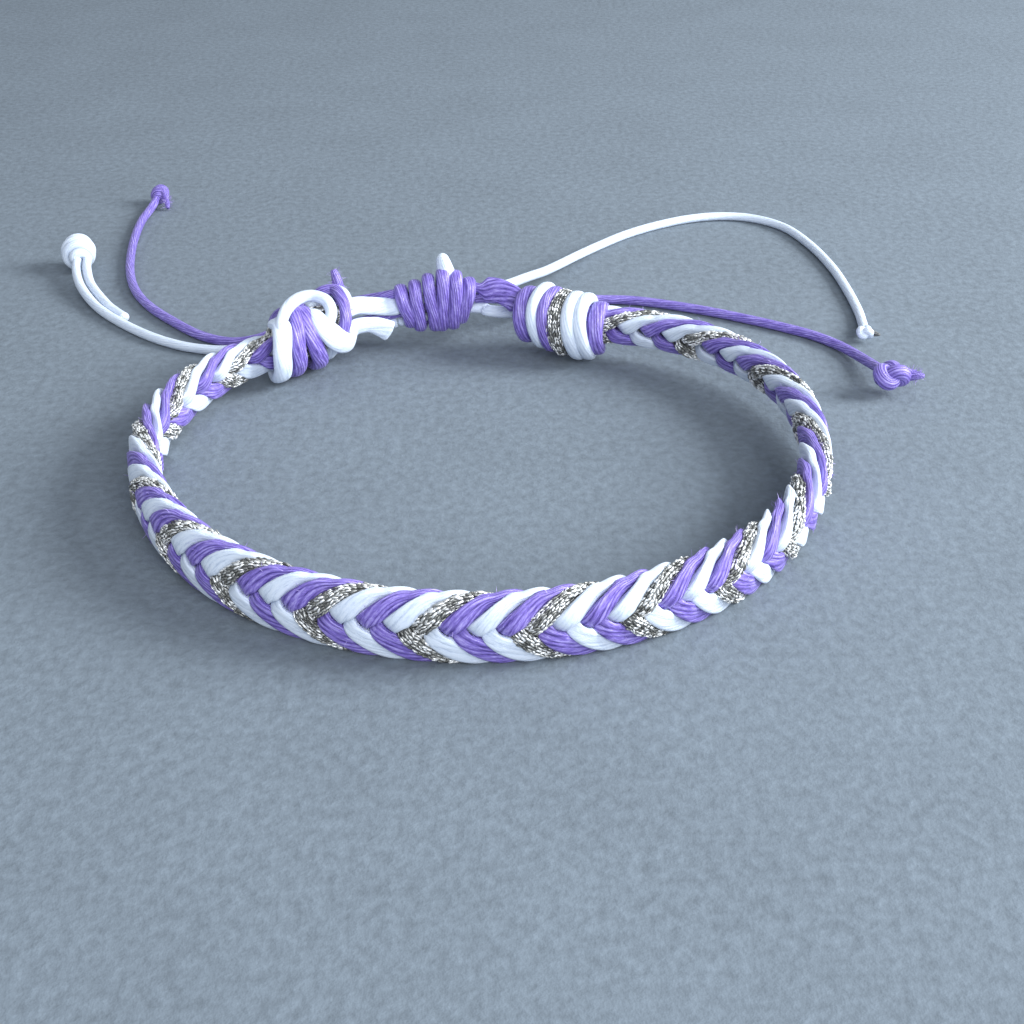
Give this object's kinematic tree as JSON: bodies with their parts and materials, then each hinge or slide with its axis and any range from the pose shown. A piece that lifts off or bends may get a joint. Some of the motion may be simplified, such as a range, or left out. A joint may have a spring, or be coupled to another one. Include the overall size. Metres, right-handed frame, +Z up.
{
  "type": "braided anklet",
  "caption": "Flat fishtail-braided cord anklet in violet, white and metallic thread, standing as an open loop closed by end knots, a sliding knot and knotted tails.",
  "frame": {"origin": "on the surface that the anklet stands on, under the middle of the closed loop, tails left out", "axes": "+Z up along the axis of the loop, -Y towards the front of the braid, +X to the right as seen from the front"},
  "size_m": [0.1119, 0.124, 0.0133],
  "materials": {
    "purple_cord": "waxed cord of fine lengthwise fibres, soft sheen",
    "white_cord": "waxed white cord, smooth with fine lengthwise fibres",
    "silver_thread": "chained metallic thread with bright flecks and dark gaps"
  },
  "bodies": {
    "root": {"silver_strand_1": "silver_thread", "silver_strand_2": "silver_thread", "purple_strand_1": "purple_cord", "purple_strand_2": "purple_cord", "purple_strand_3": "purple_cord", "white_strand_1": "white_cord", "white_strand_2": "white_cord", "white_strand_3": "white_cord", "right_knot_bundle": "purple_cord", "right_knot_purple_turns": "purple_cord", "right_knot_white_turns": "white_cord", "right_knot_silver_turn": "silver_thread", "left_knot_bundle": "white_cord", "left_knot_purple_turns": "purple_cord", "left_knot_white_turns": "white_cord", "left_knot_purple_end": "purple_cord", "left_knot_white_end": "white_cord", "sliding_knot": "purple_cord", "sliding_knot_white_end": "white_cord", "left_white_pull_cord": "white_cord", "left_purple_pull_cord": "purple_cord", "right_white_pull_cord": "white_cord", "right_purple_pull_cord": "purple_cord", "right_white_tail": "white_cord", "right_purple_tail": "purple_cord", "left_white_tail": "white_cord", "left_purple_tail": "purple_cord", "left_white_tail_fold": "white_cord", "right_white_tail_knot": "white_cord", "right_purple_tail_knot": "purple_cord", "left_white_tail_knot": "white_cord", "left_purple_tail_knot": "purple_cord"}
  },
  "joints": []
}
